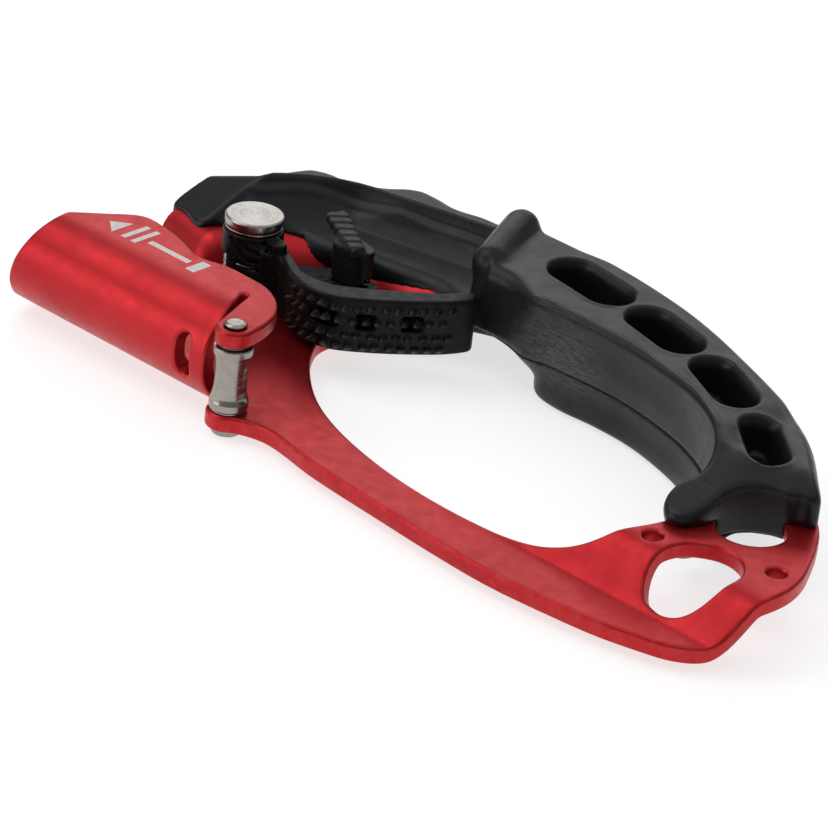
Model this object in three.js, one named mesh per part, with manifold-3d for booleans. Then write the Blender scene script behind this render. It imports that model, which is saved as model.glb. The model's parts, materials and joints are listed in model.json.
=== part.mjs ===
// Handled ascender (rope clamp) for a 8 to 13 mm rope, right-hand model, lying on its back
// with the toothed cam latched open. Millimetres, +Z up out of the front of the body.
// Working frame: the roller's axis is the origin, +X runs down the rope towards the
// attachment end, +Y points from the rope channel towards the handle.

import * as THREE from 'three';
import { mergeVertices } from 'three/addons/utils/BufferGeometryUtils.js';
import Module from 'manifold-3d';

const wasm = await Module();
wasm.setup();

// ---------------------------------------------------------------- driving dimensions
const GAP = 0.3;             // clearance kept between neighbouring pieces
const SHEET = 3.8;           // thickness of the formed aluminium body
const RISE = 9;              // height of the joggle that lifts the handle tang
const TANG_TOP = RISE + SHEET;
const REST_Z = -1.6;         // plane that the rivet heads and the grip rest on

const CHANNEL = { height: 23, y: 9.2, left: -69.8, right: -6.2, slant: 0.47 };
const CHANNEL_R = CHANNEL.height / 2;
const FLANGE_Z = CHANNEL.height - SHEET;

const PIVOT = { x: -35, y: 41 };
const HUB = { radius: 6.7, bottom: 5.2, top: 20.6 };
const AXLE = { radius: 3.5, headRadius: 6.5, headBottom: 21.5, headTop: 23.7 };
const BUSH = { inner: 3.55, outer: 4.45 };
const COIL = { inner: 4.95, outer: 6.1, bottom: 7.8, top: 15, wire: 0.9, turns: 5 };
const CAM_WALL = { bottom: 5.2, top: 18 };
const WEB = { bottom: 7.4, top: 10.4 };

const CATCH = { x: -17.2, y: 54.3, top: 21, padThickness: 2.4, pinRadius: 1.5 };
const ROLLER = { radius: 4.2, waist: 3.45, bottom: 4.4, top: 18.6, bore: 2.65 };
const ROLLER_PIN = { radius: 2, rearHead: 3.3, frontHead: 2.3, top: 23.9 };

const GRIP = { top: 24, hornTop: 22.5, parting: RISE + SHEET / 2, bevel: 2, rearBevel: 1 };
const ROUND_HOLE = { x: 110.5, y: 36.5, radius: 7.3 };
const CORD_HOLES = [{ x: 100.2, y: 18.2 }, { x: 125.3, y: 26.2 }];
const CORD_HOLE_RADIUS = 2;

// Joggle lines. The straight ones run along X, the diagonal one clears the cam's hub.
const LOWER_BEND_Y = 5;
const UPPER_BEND_Y = 55.7;
const DIAGONAL = { offset: 91, run: 3.2 };       // crest line y = x + offset
const END_CREST = { x: -49, y: 42, dx: -16, dy: 4, run: 4 };

// ---------------------------------------------------------------- helpers
const ROUND = 28;

function solid(geometry) {
  const bare = geometry.index ? geometry.toNonIndexed() : geometry.clone();
  bare.deleteAttribute('normal');
  bare.deleteAttribute('uv');
  const merged = mergeVertices(bare, 1e-4);
  return new wasm.Manifold(new wasm.Mesh({
    numProp: 3,
    vertProperties: new Float32Array(merged.attributes.position.array),
    triVerts: new Uint32Array(merged.index.array),
  }));
}

function geometryOf(manifold) {
  const mesh = manifold.getMesh();
  const geometry = new THREE.BufferGeometry();
  geometry.setAttribute('position', new THREE.BufferAttribute(mesh.vertProperties, 3));
  geometry.setIndex(new THREE.BufferAttribute(mesh.triVerts, 1));
  const flat = geometry.toNonIndexed();
  flat.computeVertexNormals();
  return flat;
}

// Closed smooth outline through a few points, given as [x, y] pairs.
function smooth(points) {
  const shape = new THREE.Shape();
  const curve = new THREE.CatmullRomCurve3(
    points.map(([x, y]) => new THREE.Vector3(x, y, 0)), true, 'centripetal');
  shape.setFromPoints(curve.getPoints(points.length * 3).slice(0, -1));
  return shape;
}

function polygon(points) {
  return new THREE.Shape(points.map(([x, y]) => new THREE.Vector2(x, y)));
}

function circle(x, y, radius) {
  return new THREE.Shape().absarc(x, y, radius, 0, 2 * Math.PI, false);
}

// Slot with round ends from a to b.
function slot(a, b, width) {
  const direction = Math.atan2(b[1] - a[1], b[0] - a[0]);
  const shape = new THREE.Shape();
  shape.absarc(a[0], a[1], width / 2, direction + Math.PI / 2, direction + 1.5 * Math.PI, false);
  shape.absarc(b[0], b[1], width / 2, direction - Math.PI / 2, direction + Math.PI / 2, false);
  shape.closePath();
  return shape;
}

// Upright prism of a plan outline between two heights, edges broken by a bevel if asked.
function prism(shape, z0, z1, bevel = 0, curveSegments = 4) {
  const geometry = new THREE.ExtrudeGeometry(shape, {
    depth: z1 - z0 - 2 * bevel,
    bevelEnabled: bevel > 0,
    bevelThickness: bevel,
    bevelSize: bevel,
    bevelOffset: -bevel,
    bevelSegments: 2,
    curveSegments,
  });
  geometry.translate(0, 0, z0 + bevel);
  return solid(geometry);
}

// Prism along X of a profile drawn as (y, z).
function beamX(profile, x0, x1) {
  const geometry = new THREE.ExtrudeGeometry(profile, {
    depth: x1 - x0, bevelEnabled: false, curveSegments: ROUND,
  });
  geometry.applyMatrix4(new THREE.Matrix4().makeBasis(
    new THREE.Vector3(0, 1, 0), new THREE.Vector3(0, 0, 1), new THREE.Vector3(1, 0, 0)));
  geometry.translate(x0, 0, 0);
  return solid(geometry);
}

// Prism along Y of a profile drawn as (x, z).
function beamY(profile, y0, y1) {
  const geometry = new THREE.ExtrudeGeometry(profile, {
    depth: y1 - y0, bevelEnabled: false, curveSegments: 8,
  });
  geometry.rotateX(Math.PI / 2);
  geometry.translate(0, y1, 0);
  return solid(geometry);
}

// Turned piece about a vertical axis through (x, y), profile as [radius, z] pairs.
function turned(profile, x = 0, y = 0, segments = ROUND) {
  const points = profile.map(([r, z]) => new THREE.Vector2(r, z));
  const geometry = new THREE.LatheGeometry(points, segments);
  geometry.rotateX(Math.PI / 2);
  geometry.translate(x, y, 0);
  return solid(geometry);
}

function ring(inner, outer, z0, z1, x = 0, y = 0) {
  return turned([[inner, z0], [outer, z0], [outer, z1], [inner, z1], [inner, z0]], x, y);
}

function disc(radius, z0, z1, x = 0, y = 0, segments = ROUND) {
  return turned([[0, z0], [radius, z0], [radius, z1], [0, z1]], x, y, segments);
}

// Section of a sheet that steps up by RISE over `run`, as (distance, z). Distance zero
// is the foot of the slope and the sheet keeps its thickness round both bends.
function joggleProfile(run, reach) {
  const shift = SHEET * Math.tan(Math.atan2(RISE, run) / 2);
  return polygon([
    [-reach, 0], [shift, 0], [run + shift, RISE], [reach, RISE],
    [reach, TANG_TOP], [run, TANG_TOP], [0, SHEET], [-reach, SHEET],
  ]);
}

const union = (...pieces) => pieces.reduce((a, b) => a.add(b));

// ---------------------------------------------------------------- the formed body
const bodyOutline = () => {
  const shape = new THREE.Shape();
  shape.moveTo(CHANNEL.left, CHANNEL.y);
  shape.lineTo(CHANNEL.right, CHANNEL.y);
  shape.lineTo(-4.7, 0);
  shape.absarc(0, 0, 4.7, Math.PI, 1.67 * Math.PI, false);
  shape.splineThru([
    [4.6, -2], [11, 0], [27.7, -2.9], [46.8, -4.7], [78.6, -7], [107.6, -3.2],
    [118.7, 0.8], [126.7, 7.7], [130.2, 14.3], [131.4, 19], [129.5, 30], [118, 48.7],
    [108, 57], [78, 68.5], [32, 79], [-20, 75], [-48, 65], [-61, 53], [-64.8, 46],
  ].map(([x, y]) => new THREE.Vector2(x, y)));
  shape.closePath();
  return shape;
};

const handOpening = () => smooth([
  [1.1, 22.9], [13.4, 15.1], [35, 7.2], [54.2, 5], [74.7, 5.8], [88.5, 10.6], [94.7, 16.5],
  [98, 27], [92, 46], [80, 57.5], [58, 66.4], [25, 67.4], [10, 63.5], [2, 59.5], [-5, 54.5],
  [-10, 47.5], [-10.3, 38.1], [-6, 30.4],
]);

// Rounded triangle for the carabiner, its blunt corner at the arm's side.
const carabinerHole = () => smooth([
  [104.6, 15.5], [105.8, 21.5], [110.4, 24.8], [117, 24.6], [122.4, 20.8], [121.2, 16.8],
  [117.6, 12], [115.4, 7.4], [111, 6.4], [107.2, 9.2],
]);

function formedSheet() {
  const reach = 120;
  const lowerJoggle = beamX(joggleProfile(RISE, reach), 64, 140)
    .translate([0, LOWER_BEND_Y, 0]);
  const upperJoggle = beamX(joggleProfile(RISE, reach), -40, 64)
    .translate([0, UPPER_BEND_Y, 0]);

  const across = (profile, run, crest, angle) => beamX(profile, -reach, reach)
    .translate([0, -run, 0])
    .rotate([0, 0, angle])
    .translate([crest.x, crest.y, 0]);
  const diagonalJoggle = across(
    joggleProfile(DIAGONAL.run, reach), DIAGONAL.run, { x: 0, y: DIAGONAL.offset }, 45);
  const endAngle = THREE.MathUtils.radToDeg(Math.atan2(-END_CREST.dy, -END_CREST.dx));
  const endJoggle = across(
    joggleProfile(END_CREST.run, reach), END_CREST.run, END_CREST, endAngle);

  // The three upper joggles meet on mitre lines.
  const foot = [-30.8, UPPER_BEND_Y];
  const crest = [-26.3, UPPER_BEND_Y + RISE];
  const endFoot = [-48.7, 37.8];
  const endCrest = [END_CREST.x, END_CREST.y];
  const zone = (points) => prism(polygon(points), -5, 30);
  const straightZone = zone([[foot[0], 20], [50, 20], [50, 110], [crest[0], 110], crest, foot]);
  const diagonalZone = zone([
    [endFoot[0], 20], [foot[0], 20], foot, crest, [crest[0], 110], [endCrest[0], 110],
    endCrest, endFoot,
  ]);
  const endZone = zone([
    [-80, 20], [endFoot[0], 20], endFoot, endCrest, [endCrest[0], 110], [-80, 110],
  ]);
  const lowZone = prism(polygon([[-80, -20], [64, -20], [64, 20], [-80, 20]]), 0, SHEET);

  const tang = prism(polygon([[50, 30], [64, 30], [64, 110], [50, 110]]), RISE, TANG_TOP);

  return union(
    lowZone,
    lowerJoggle,
    tang,
    upperJoggle.intersect(straightZone),
    diagonalJoggle.intersect(diagonalZone),
    endJoggle.intersect(endZone),
  );
}

function ropeChannel() {
  const profile = new THREE.Shape();
  const inner = CHANNEL_R - SHEET;
  profile.moveTo(CHANNEL.y, CHANNEL.height);
  profile.absarc(CHANNEL.y, CHANNEL_R, CHANNEL_R, Math.PI / 2, 1.5 * Math.PI, false);
  profile.absarc(CHANNEL.y, CHANNEL_R, inner, 1.5 * Math.PI, Math.PI / 2, true);
  profile.closePath();
  const bend = beamX(profile, CHANNEL.left - 1, CHANNEL.right);

  const flange = new THREE.Shape();
  flange.moveTo(CHANNEL.left, CHANNEL.y - 0.5);
  flange.lineTo(-58.9, CHANNEL.y);
  flange.splineThru([
    [-54.3, 15.2], [-49.1, 21.6], [-40.6, 21], [-34.6, 19.3], [-28, 17.2], [-21.2, 18.9],
    [-8.8, 18.4], [-3.3, 15.6], [0.8, 11.1], [3.1, 5.6], [4.1, 0],
  ].map(([x, y]) => new THREE.Vector2(x, y)));
  flange.absarc(0, 0, 4.1, 0, Math.PI, true);
  flange.lineTo(-6, CHANNEL.y - 4);
  flange.lineTo(CHANNEL.right, CHANNEL.y - 0.5);
  flange.closePath();

  // The upper end of the channel is cut on a slant, so the rope leads in.
  const leadIn = beamY(polygon([
    [-90, -1], [CHANNEL.left, -1], [CHANNEL.left, 0],
    [CHANNEL.left + CHANNEL.slant * CHANNEL.height, CHANNEL.height],
    [CHANNEL.left + CHANNEL.slant * 30, 30], [-90, 30],
  ]), -10, 30);
  return bend.add(prism(flange, FLANGE_Z, CHANNEL.height)).subtract(leadIn);
}

function bodyCuts() {
  const through = (shape) => prism(shape, -5, 30);
  const oval = slot([-12.7, 9.4], [-12.7, 13.6], 4.2);
  return union(
    through(slot([-5.4, 1.2], [-9.2, 11.9], 1.5)),
    beamY(oval, -5, 6),
    disc(ROLLER_PIN.radius + 0.15, -5, 30),
    disc(AXLE.radius + 0.15, -5, 8, PIVOT.x, PIVOT.y),
    through(carabinerHole()),
    disc(ROUND_HOLE.radius, -5, 30, ROUND_HOLE.x, ROUND_HOLE.y, 36),
    ...CORD_HOLES.map(({ x, y }) => disc(CORD_HOLE_RADIUS, -5, 30, x, y, 16)),
  );
}

function frameSolid() {
  const outline = bodyOutline();
  outline.holes.push(handOpening());
  const sheet = formedSheet().intersect(prism(outline, -5, 30));
  return sheet.add(ropeChannel()).subtract(bodyCuts());
}

// ---------------------------------------------------------------- the grip
const frontOutline = () => smooth([
  [-63.5, 47.5], [-53, 44], [-41, 54.5], [-28, 58.5], [-10, 62.3], [6, 64.2], [13.5, 64.8],
  [21, 60.8], [33.5, 60], [55, 60], [75.9, 55.5], [92, 46.5], [97.6, 37], [96.6, 28],
  [98.6, 23.6], [102.6, 25.4], [103.6, 31], [102.3, 36.5], [104.6, 42.6], [110.5, 45],
  [115.5, 43.6], [118, 48.5], [114, 54.5], [98.5, 66.5], [81, 75.5], [56.2, 84], [32, 87.6],
  [8, 89.5], [-3, 87], [-13, 88.5], [-23, 89.5], [-31, 83], [-41, 81.5], [-52, 73], [-62, 57.5],
]);

const rearOutline = () => smooth([
  [-62, 58], [-50, 61], [-30, 67], [0, 69], [9, 73.5], [16, 75.5], [23, 71], [31, 62],
  [38, 60.5], [55, 60.5], [75.9, 55.5], [92, 45.5], [96.5, 36], [95.5, 30], [98, 26.5],
  [101, 29], [101.5, 36.5], [104, 43.2], [110.5, 46], [115.5, 44.5], [117.5, 49],
  [113, 55], [98.5, 66.5], [81, 75.5], [56.2, 84], [32, 87.6], [8, 89.5], [-3, 87],
  [-13, 88.5], [-23, 89.5], [-31, 83], [-41, 81.5], [-52, 73],
]);

// Four finger-cooling pockets along the handle, shrinking towards the attachment end.
const POCKETS = [
  { a: [28, 76.8], b: [37, 75.6], width: 11 },
  { a: [51.5, 73.2], b: [60, 71.2], width: 10.5 },
  { a: [73.5, 67.2], b: [82.5, 62.8], width: 9.5 },
  { a: [94.8, 56], b: [103.5, 48.8], width: 8.5 },
];

function pockets(z0, z1) {
  return union(...POCKETS.map(({ a, b, width }) => prism(slot(a, b, width), z0, z1, 0, 6)));
}

// Space for the tang inside the two shells: the body's plan grown by the gap.
function tangSpace() {
  const outline = bodyOutline();
  outline.holes.push(handOpening());
  const grown = new THREE.ExtrudeGeometry(outline, {
    depth: SHEET, bevelEnabled: true, bevelThickness: GAP, bevelSize: GAP, bevelSegments: 1,
    curveSegments: 4,
  });
  grown.translate(0, 0, RISE);
  return solid(grown);
}

function frontShellSolid() {
  const handle = prism(frontOutline(), GRIP.parting - GRIP.bevel, GRIP.top, GRIP.bevel);
  const above = prism(polygon([[-90, 0], [150, 0], [150, 120], [-90, 120]]), GRIP.parting + 0.05, 40);

  // The upper horn slopes down to the body on the rope side and at its end.
  const hornSlope = beamX(polygon([[40, 14.2], [58, 14.2], [76, GRIP.hornTop], [100, GRIP.hornTop],
    [100, 40], [40, 40]]), -80, -2);
  const endSlope = beamX(polygon([[30, 13], [44, 13], [62, 22.5], [62, 50], [30, 50]]), -90, -46);

  const stop = prism(slot([3.6, 84.8], [9.6, 67.2], 7.4), 16, 27.3, 2.2);
  return handle.intersect(above)
    .subtract(hornSlope)
    .subtract(endSlope)
    .add(stop)
    .subtract(pockets(TANG_TOP + 1.8, 40))
    .subtract(tangSpace());
}

function rearShellSolid() {
  const handle = prism(rearOutline(), REST_Z, GRIP.parting + 2, GRIP.rearBevel);
  const below = prism(polygon([[-90, 0], [150, 0], [150, 120], [-90, 120]]), -10, GRIP.parting - 0.05);

  // The rear of the handle thins towards the lower end, clear of the attachment holes.
  const thinned = beamY(polygon([
    [84, -5], [130, -5], [130, 8.2], [112, 8.2], [104, 7.4], [99, 5], [94, 2.4], [88, -0.6],
    [84, REST_Z - 0.2],
  ]), 0, 120);
  return handle.intersect(below)
    .subtract(thinned)
    .subtract(pockets(-10, RISE - 1.8))
    .subtract(tangSpace())
    .subtract(frameSolid().translate([0, 0, -GAP]));
}

// ---------------------------------------------------------------- the cam group
const camWallOutline = () => smooth([
  [-29, 37], [-24, 38.4], [-18.4, 35.6], [-11.7, 33.4], [-4.9, 34.3], [1.5, 39.5],
  [8.5, 47.6], [12.9, 54.1], [14.4, 59.2], [12, 61.2], [8, 55], [2, 48.6], [-4, 42.7],
  [-9.6, 38.6], [-16.5, 38], [-22.8, 41.2], [-28.5, 43.6],
]);

const webOutline = () => smooth([
  [-31, 35.5], [-24, 38.8], [-12, 35.5], [-5, 37], [3, 44.5], [11, 55.5], [10.5, 59],
  [3, 55.5], [-4, 51.5], [-10, 53], [-12.5, 58], [-22, 58], [-28, 53], [-35, 47],
]);

const MUD_SLOTS = [-13, -2.5, 8];    // bearings of the slots from the pivot, in degrees

function camSolid() {
  const hub = disc(HUB.radius, HUB.bottom, HUB.top, PIVOT.x, PIVOT.y, 36);
  const lug = prism(slot([-29, 40.4], [-26.4, 40], 3.6), WEB.bottom, HUB.top);
  const slots = union(...MUD_SLOTS.map((bearing) => {
    const angle = THREE.MathUtils.degToRad(bearing);
    const along = (r) => [PIVOT.x + r * Math.cos(angle), PIVOT.y + r * Math.sin(angle)];
    return prism(slot(along(26), along(54), 3.4), WEB.top + 0.5, CAM_WALL.top - 2.4);
  }));
  const springSeat = ring(COIL.inner, COIL.outer, COIL.bottom, COIL.top, PIVOT.x, PIVOT.y);
  const window = prism(polygon([
    [PIVOT.x, PIVOT.y + 1.2], [PIVOT.x - 20, PIVOT.y + 6], [PIVOT.x - 20, PIVOT.y - 20],
    [PIVOT.x - 4, PIVOT.y - 20],
  ]), COIL.bottom, COIL.top).subtract(disc(COIL.inner, 0, 30, PIVOT.x, PIVOT.y));
  return union(
    hub, lug,
    prism(camWallOutline(), CAM_WALL.bottom, CAM_WALL.top).subtract(slots),
    prism(webOutline(), WEB.bottom, WEB.top),
  )
    .subtract(springSeat)
    .subtract(window)
    .subtract(disc(BUSH.outer + 0.05, 0, 30, PIVOT.x, PIVOT.y))
    .subtract(disc(CATCH.pinRadius + 0.05, 0, WEB.top + 2, CATCH.x, CATCH.y, 16));
}

// Helical torsion spring with one leg bent out to bear on the body.
class CoilPath extends THREE.Curve {
  getPoint(t, target = new THREE.Vector3()) {
    const radius = (COIL.inner + COIL.outer) / 2;
    const rise = COIL.turns * 1.12;
    const legShare = 0.06;
    const turn = Math.min(t / (1 - legShare), 1);
    const angle = Math.PI + 2 * Math.PI * COIL.turns * (turn - 1);
    const leg = Math.max(0, (t - 1 + legShare) / legShare) * 5.2;
    return target.set(
      PIVOT.x + Math.cos(angle) * (radius + leg),
      PIVOT.y + Math.sin(angle) * (radius + leg),
      COIL.bottom + 0.7 + rise * turn,
    );
  }
}

function tube(path, radius, steps, sides = 8) {
  return new THREE.ExtrudeGeometry(circle(0, 0, radius), {
    steps, extrudePath: path, bevelEnabled: false, curveSegments: sides,
  });
}

function camAxleSolid() {
  const { radius, headRadius, headBottom, headTop } = AXLE;
  const edge = 0.4;
  return turned([
    [0, REST_Z], [5.2, REST_Z], [5.2, -0.2], [radius, -0.2], [radius, headBottom],
    [headRadius, headBottom], [headRadius, headTop - edge], [headRadius - edge, headTop],
    [0, headTop],
  ], PIVOT.x, PIVOT.y, 36);
}

// ---------------------------------------------------------------- the thumb catch
function thumbCatchSolid() {
  const padBottom = CATCH.top - CATCH.padThickness;
  const pad = prism(slot([-27.4, 60], [-15, 52.2], 5), padBottom, CATCH.top, 0.5, 5);
  const post = prism(polygon([
    [-20.6, 52.1], [-12.9, 52.1], [-12.4, 55], [-14.5, 56], [-20.6, 55.4],
  ]), WEB.top + 0.2, padBottom + 0.8);
  const bore = disc(CATCH.pinRadius + 0.05, 0, WEB.top + 5, CATCH.x, CATCH.y, 16);
  const springRoom = disc(2.6, WEB.top, WEB.top + 2.6, CATCH.x, CATCH.y, 16);
  const legRoom = prism(polygon([
    [CATCH.x, CATCH.y - 0.8], [CATCH.x + 8, CATCH.y - 3], [CATCH.x + 8, CATCH.y + 3],
    [CATCH.x, CATCH.y + 0.8],
  ]), WEB.top, WEB.top + 2.6);
  return pad.add(post).subtract(bore).subtract(springRoom).subtract(legRoom);
}

class CatchCoilPath extends THREE.Curve {
  getPoint(t, target = new THREE.Vector3()) {
    const turn = Math.min(t / 0.85, 1);
    const angle = 2 * Math.PI * 3 * (turn - 1);
    const leg = Math.max(0, (t - 0.85) / 0.15) * 3;
    return target.set(
      CATCH.x + Math.cos(angle) * (2.05 + leg),
      CATCH.y + Math.sin(angle) * (2.05 + leg),
      WEB.top + 0.45 + 1.75 * turn,
    );
  }
}

// ---------------------------------------------------------------- the roller group
function rollerSolid() {
  const { radius, waist, bottom, top, bore } = ROLLER;
  const middle = (bottom + top) / 2;
  return turned([
    [bore, bottom], [radius, bottom], [radius, bottom + 1.6], [waist + 0.2, bottom + 4],
    [waist, middle], [waist + 0.2, top - 4], [radius, top - 1.6], [radius, top],
    [bore, top], [bore, bottom],
  ]);
}

function rollerPinSolid() {
  const { radius, rearHead, frontHead, top } = ROLLER_PIN;
  return turned([
    [0, REST_Z], [rearHead, REST_Z], [rearHead, -0.2], [radius, -0.2],
    [radius, CHANNEL.height + 0.2], [frontHead, CHANNEL.height + 0.2], [frontHead - 0.2, top],
    [0, top],
  ], 0, 0, 24);
}

// ---------------------------------------------------------------- assembly
const FINISH = {
  anodised: { color: 0xb4202c, roughness: 0.38, metalness: 0.85 },
  rubber: { color: 0x24262b, roughness: 0.62, metalness: 0 },
  castSteel: { color: 0x1c1c1e, roughness: 0.5, metalness: 0.6 },
  plastic: { color: 0x1e1f21, roughness: 0.55, metalness: 0 },
  stainless: { color: 0xbdb7ae, roughness: 0.28, metalness: 1 },
  bronze: { color: 0xa8834a, roughness: 0.4, metalness: 1 },
};

const model = new THREE.Group();

function add(name, shape, finish) {
  const geometry = shape.isBufferGeometry ? shape : geometryOf(shape);
  const mesh = new THREE.Mesh(geometry, new THREE.MeshStandardMaterial(FINISH[finish]));
  mesh.name = name;
  model.add(mesh);
}

add('frame', frameSolid(), 'anodised');
add('grip_front_shell', frontShellSolid(), 'rubber');
add('grip_rear_shell', rearShellSolid(), 'rubber');

add('cam', camSolid(), 'castSteel');
add('cam_bush', ring(BUSH.inner, BUSH.outer, HUB.bottom, HUB.top, PIVOT.x, PIVOT.y), 'bronze');
add('cam_axle', camAxleSolid(), 'stainless');
add('cam_lower_washer', ring(3.7, 6.3, SHEET + 0.2, 5, PIVOT.x, PIVOT.y), 'stainless');
add('cam_upper_washer', ring(3.7, 6.3, HUB.top + 0.2, HUB.top + 0.7, PIVOT.x, PIVOT.y), 'stainless');
add('cam_spring', tube(new CoilPath(), COIL.wire / 2, 78, 3), 'stainless');

add('thumb_catch', thumbCatchSolid(), 'plastic');
add('catch_pin', disc(CATCH.pinRadius, WEB.bottom, WEB.top + 4.6, CATCH.x, CATCH.y, 16), 'stainless');
add('catch_spring', tube(new CatchCoilPath(), 0.25, 44, 3), 'stainless');

add('roller', rollerSolid(), 'stainless');
add('roller_bush', ring(ROLLER_PIN.radius + 0.05, ROLLER.bore - 0.05, 4.4, 18.6), 'bronze');
add('roller_pin', rollerPinSolid(), 'stainless');
add('roller_lower_washer', ring(2.1, 3.9, SHEET + 0.1, 4.25), 'stainless');
add('roller_upper_washer', ring(2.1, 3.2, 18.75, 19.05), 'stainless');

// The part's own frame: origin under the middle of its box, resting on z = 0.
model.updateMatrixWorld(true);
const box = new THREE.Box3().setFromObject(model);
const centre = box.getCenter(new THREE.Vector3());
model.position.set(-centre.x, -centre.y, -box.min.z);

export default model;
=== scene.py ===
"""Looks of the handled ascender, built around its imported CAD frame.

Shapes are worked out in millimetres in the working frame of the part: the rope
roller's axis is the origin, +X runs down the rope line, +Y goes from the rope channel
to the handle and +Z comes out of the front. `to_row` turns them into the row frame.
"""

import json
import math

import bmesh
import bpy
import numpy as np
import openvdb
from mathutils import Matrix, Vector
from mathutils.geometry import delaunay_2d_cdt


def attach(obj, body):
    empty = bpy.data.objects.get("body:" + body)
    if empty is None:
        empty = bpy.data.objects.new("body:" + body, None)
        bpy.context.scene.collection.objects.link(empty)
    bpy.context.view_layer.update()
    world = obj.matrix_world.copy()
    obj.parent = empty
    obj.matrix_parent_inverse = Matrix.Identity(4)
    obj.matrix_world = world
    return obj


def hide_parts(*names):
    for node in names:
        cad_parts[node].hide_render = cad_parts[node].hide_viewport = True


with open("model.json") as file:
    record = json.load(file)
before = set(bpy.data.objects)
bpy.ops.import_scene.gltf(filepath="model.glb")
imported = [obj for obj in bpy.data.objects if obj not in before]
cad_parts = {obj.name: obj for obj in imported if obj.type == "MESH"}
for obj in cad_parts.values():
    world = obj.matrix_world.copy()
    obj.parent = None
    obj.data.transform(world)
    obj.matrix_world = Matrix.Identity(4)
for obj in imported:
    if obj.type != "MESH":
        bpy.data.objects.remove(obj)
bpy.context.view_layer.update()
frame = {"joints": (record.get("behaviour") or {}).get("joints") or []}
JOINTS = {joint["name"]: joint for joint in frame["joints"]}

MM = 0.001
REST_Z = -1.6                       # height of the surface that the part lies on
ROLLER_AXIS = Vector(JOINTS["roller_spin"]["pos_m"])
ORIGIN = Vector((ROLLER_AXIS.x, ROLLER_AXIS.y, -REST_Z * MM))


def joint_place(name):
    """A joint's place in the working frame, in millimetres."""
    return (Vector(JOINTS[name]["pos_m"]) - ORIGIN) / MM


PIVOT = joint_place("cam_pivot")
CATCH = joint_place("catch_pivot")

# ---------------- camera
VIEW_AZIMUTH = math.radians(40.1)
VIEW_ELEVATION = math.radians(27.3)
VIEW_ROLL = math.radians(6.4)
VIEW_DISTANCE = 980 * MM
AIM_RIGHT, AIM_UP = 39.1 * MM, 2.1 * MM        # the aim point, seen from the roller
SENSOR = 36.0
LENS = 204.3


def make_camera():
    camera = bpy.data.objects.new("camera", bpy.data.cameras.new("camera"))
    bpy.context.scene.collection.objects.link(camera)
    camera.data.sensor_width = SENSOR
    camera.data.lens = LENS
    camera.data.clip_start, camera.data.clip_end = 0.05, 50
    a, e = VIEW_AZIMUTH, VIEW_ELEVATION
    back = Vector((math.sin(a) * math.cos(e), -math.cos(a) * math.cos(e), math.sin(e)))
    level = Vector((math.cos(a), math.sin(a), 0))
    upright = back.cross(level)
    right = level * math.cos(VIEW_ROLL) + upright * math.sin(VIEW_ROLL)
    up = back.cross(right)
    place = ORIGIN + right * AIM_RIGHT + up * AIM_UP + back * VIEW_DISTANCE
    turn = Matrix((right, up, back)).transposed().to_4x4()
    camera.matrix_world = Matrix.Translation(place) @ turn
    bpy.context.scene.camera = camera


make_camera()


# ---------------- mesh helpers
def to_row(points):
    """Working-frame millimetres to row-frame metres."""
    return np.asarray(points, float) * MM + np.array(ORIGIN)


def mesh_object(name, points, faces, material, smooth_angle=None):
    mesh = bpy.data.meshes.new(name)
    mesh.from_pydata([tuple(p) for p in to_row(points)], [], [tuple(f) for f in faces])
    mesh.validate()
    obj = bpy.data.objects.new(name, mesh)
    bpy.context.scene.collection.objects.link(obj)
    mesh.materials.append(material)
    mesh.shade_smooth()
    if smooth_angle is not None:
        mesh.set_sharp_from_angle(angle=math.radians(smooth_angle))
    return obj


def finish_piece(obj, body, slot, *nodes):
    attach(obj, body)
    if nodes:
        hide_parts(*nodes)
    return obj


def tidy_mesh(obj):
    """Drops loose points and turns every face outwards."""
    mesh = bmesh.new()
    mesh.from_mesh(obj.data)
    bmesh.ops.delete(mesh, geom=[v for v in mesh.verts if not v.link_faces], context="VERTS")
    bmesh.ops.recalc_face_normals(mesh, faces=mesh.faces)
    mesh.to_mesh(obj.data)
    mesh.free()


def add_float(obj, name, values):
    attribute = obj.data.attributes.new(name, "FLOAT", "POINT")
    attribute.data.foreach_set("value", np.asarray(values, np.float32))


def weighted_normals(obj):
    modifier = obj.modifiers.new("normals", "WEIGHTED_NORMAL")
    modifier.keep_sharp = True
    modifier.weight = 80


def spline(points, step, closed=True):
    """Centripetal Catmull-Rom curve through a few points, sampled about every `step` mm."""
    points = np.array(points, float)
    count = len(points)
    out = []
    for i in range(count if closed else count - 1):
        if closed:
            quad = [points[(i + k) % count] for k in (-1, 0, 1, 2)]
        else:
            before = points[i - 1] if i else 2 * points[0] - points[1]
            last = i + 2 >= count
            after = 2 * points[-1] - points[-2] if last else points[i + 2]
            quad = [before, points[i], points[i + 1], after]
        out.append(_segment(quad, step))
    if not closed:
        out.append(points[-1:])
    return np.vstack(out)


def _segment(quad, step):
    """The stretch of a Catmull-Rom curve between the middle two of four points."""
    p0, p1, p2, p3 = quad
    t0 = 0.0
    t1, t2, t3 = np.cumsum([max(np.linalg.norm(b - a), 1e-6) ** 0.5
                            for a, b in ((p0, p1), (p1, p2), (p2, p3))])
    n = max(2, int(round(np.linalg.norm(p2 - p1) / step)))
    s = np.linspace(t1, t2, n, endpoint=False)[:, None]

    def between(a, b, low, high):
        return (high - s) / (high - low) * a + (s - low) / (high - low) * b

    first, middle, last = between(p0, p1, t0, t1), between(p1, p2, t1, t2), between(p2, p3, t2, t3)
    return between(between(first, middle, t0, t2), between(middle, last, t1, t3), t1, t2)


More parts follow.
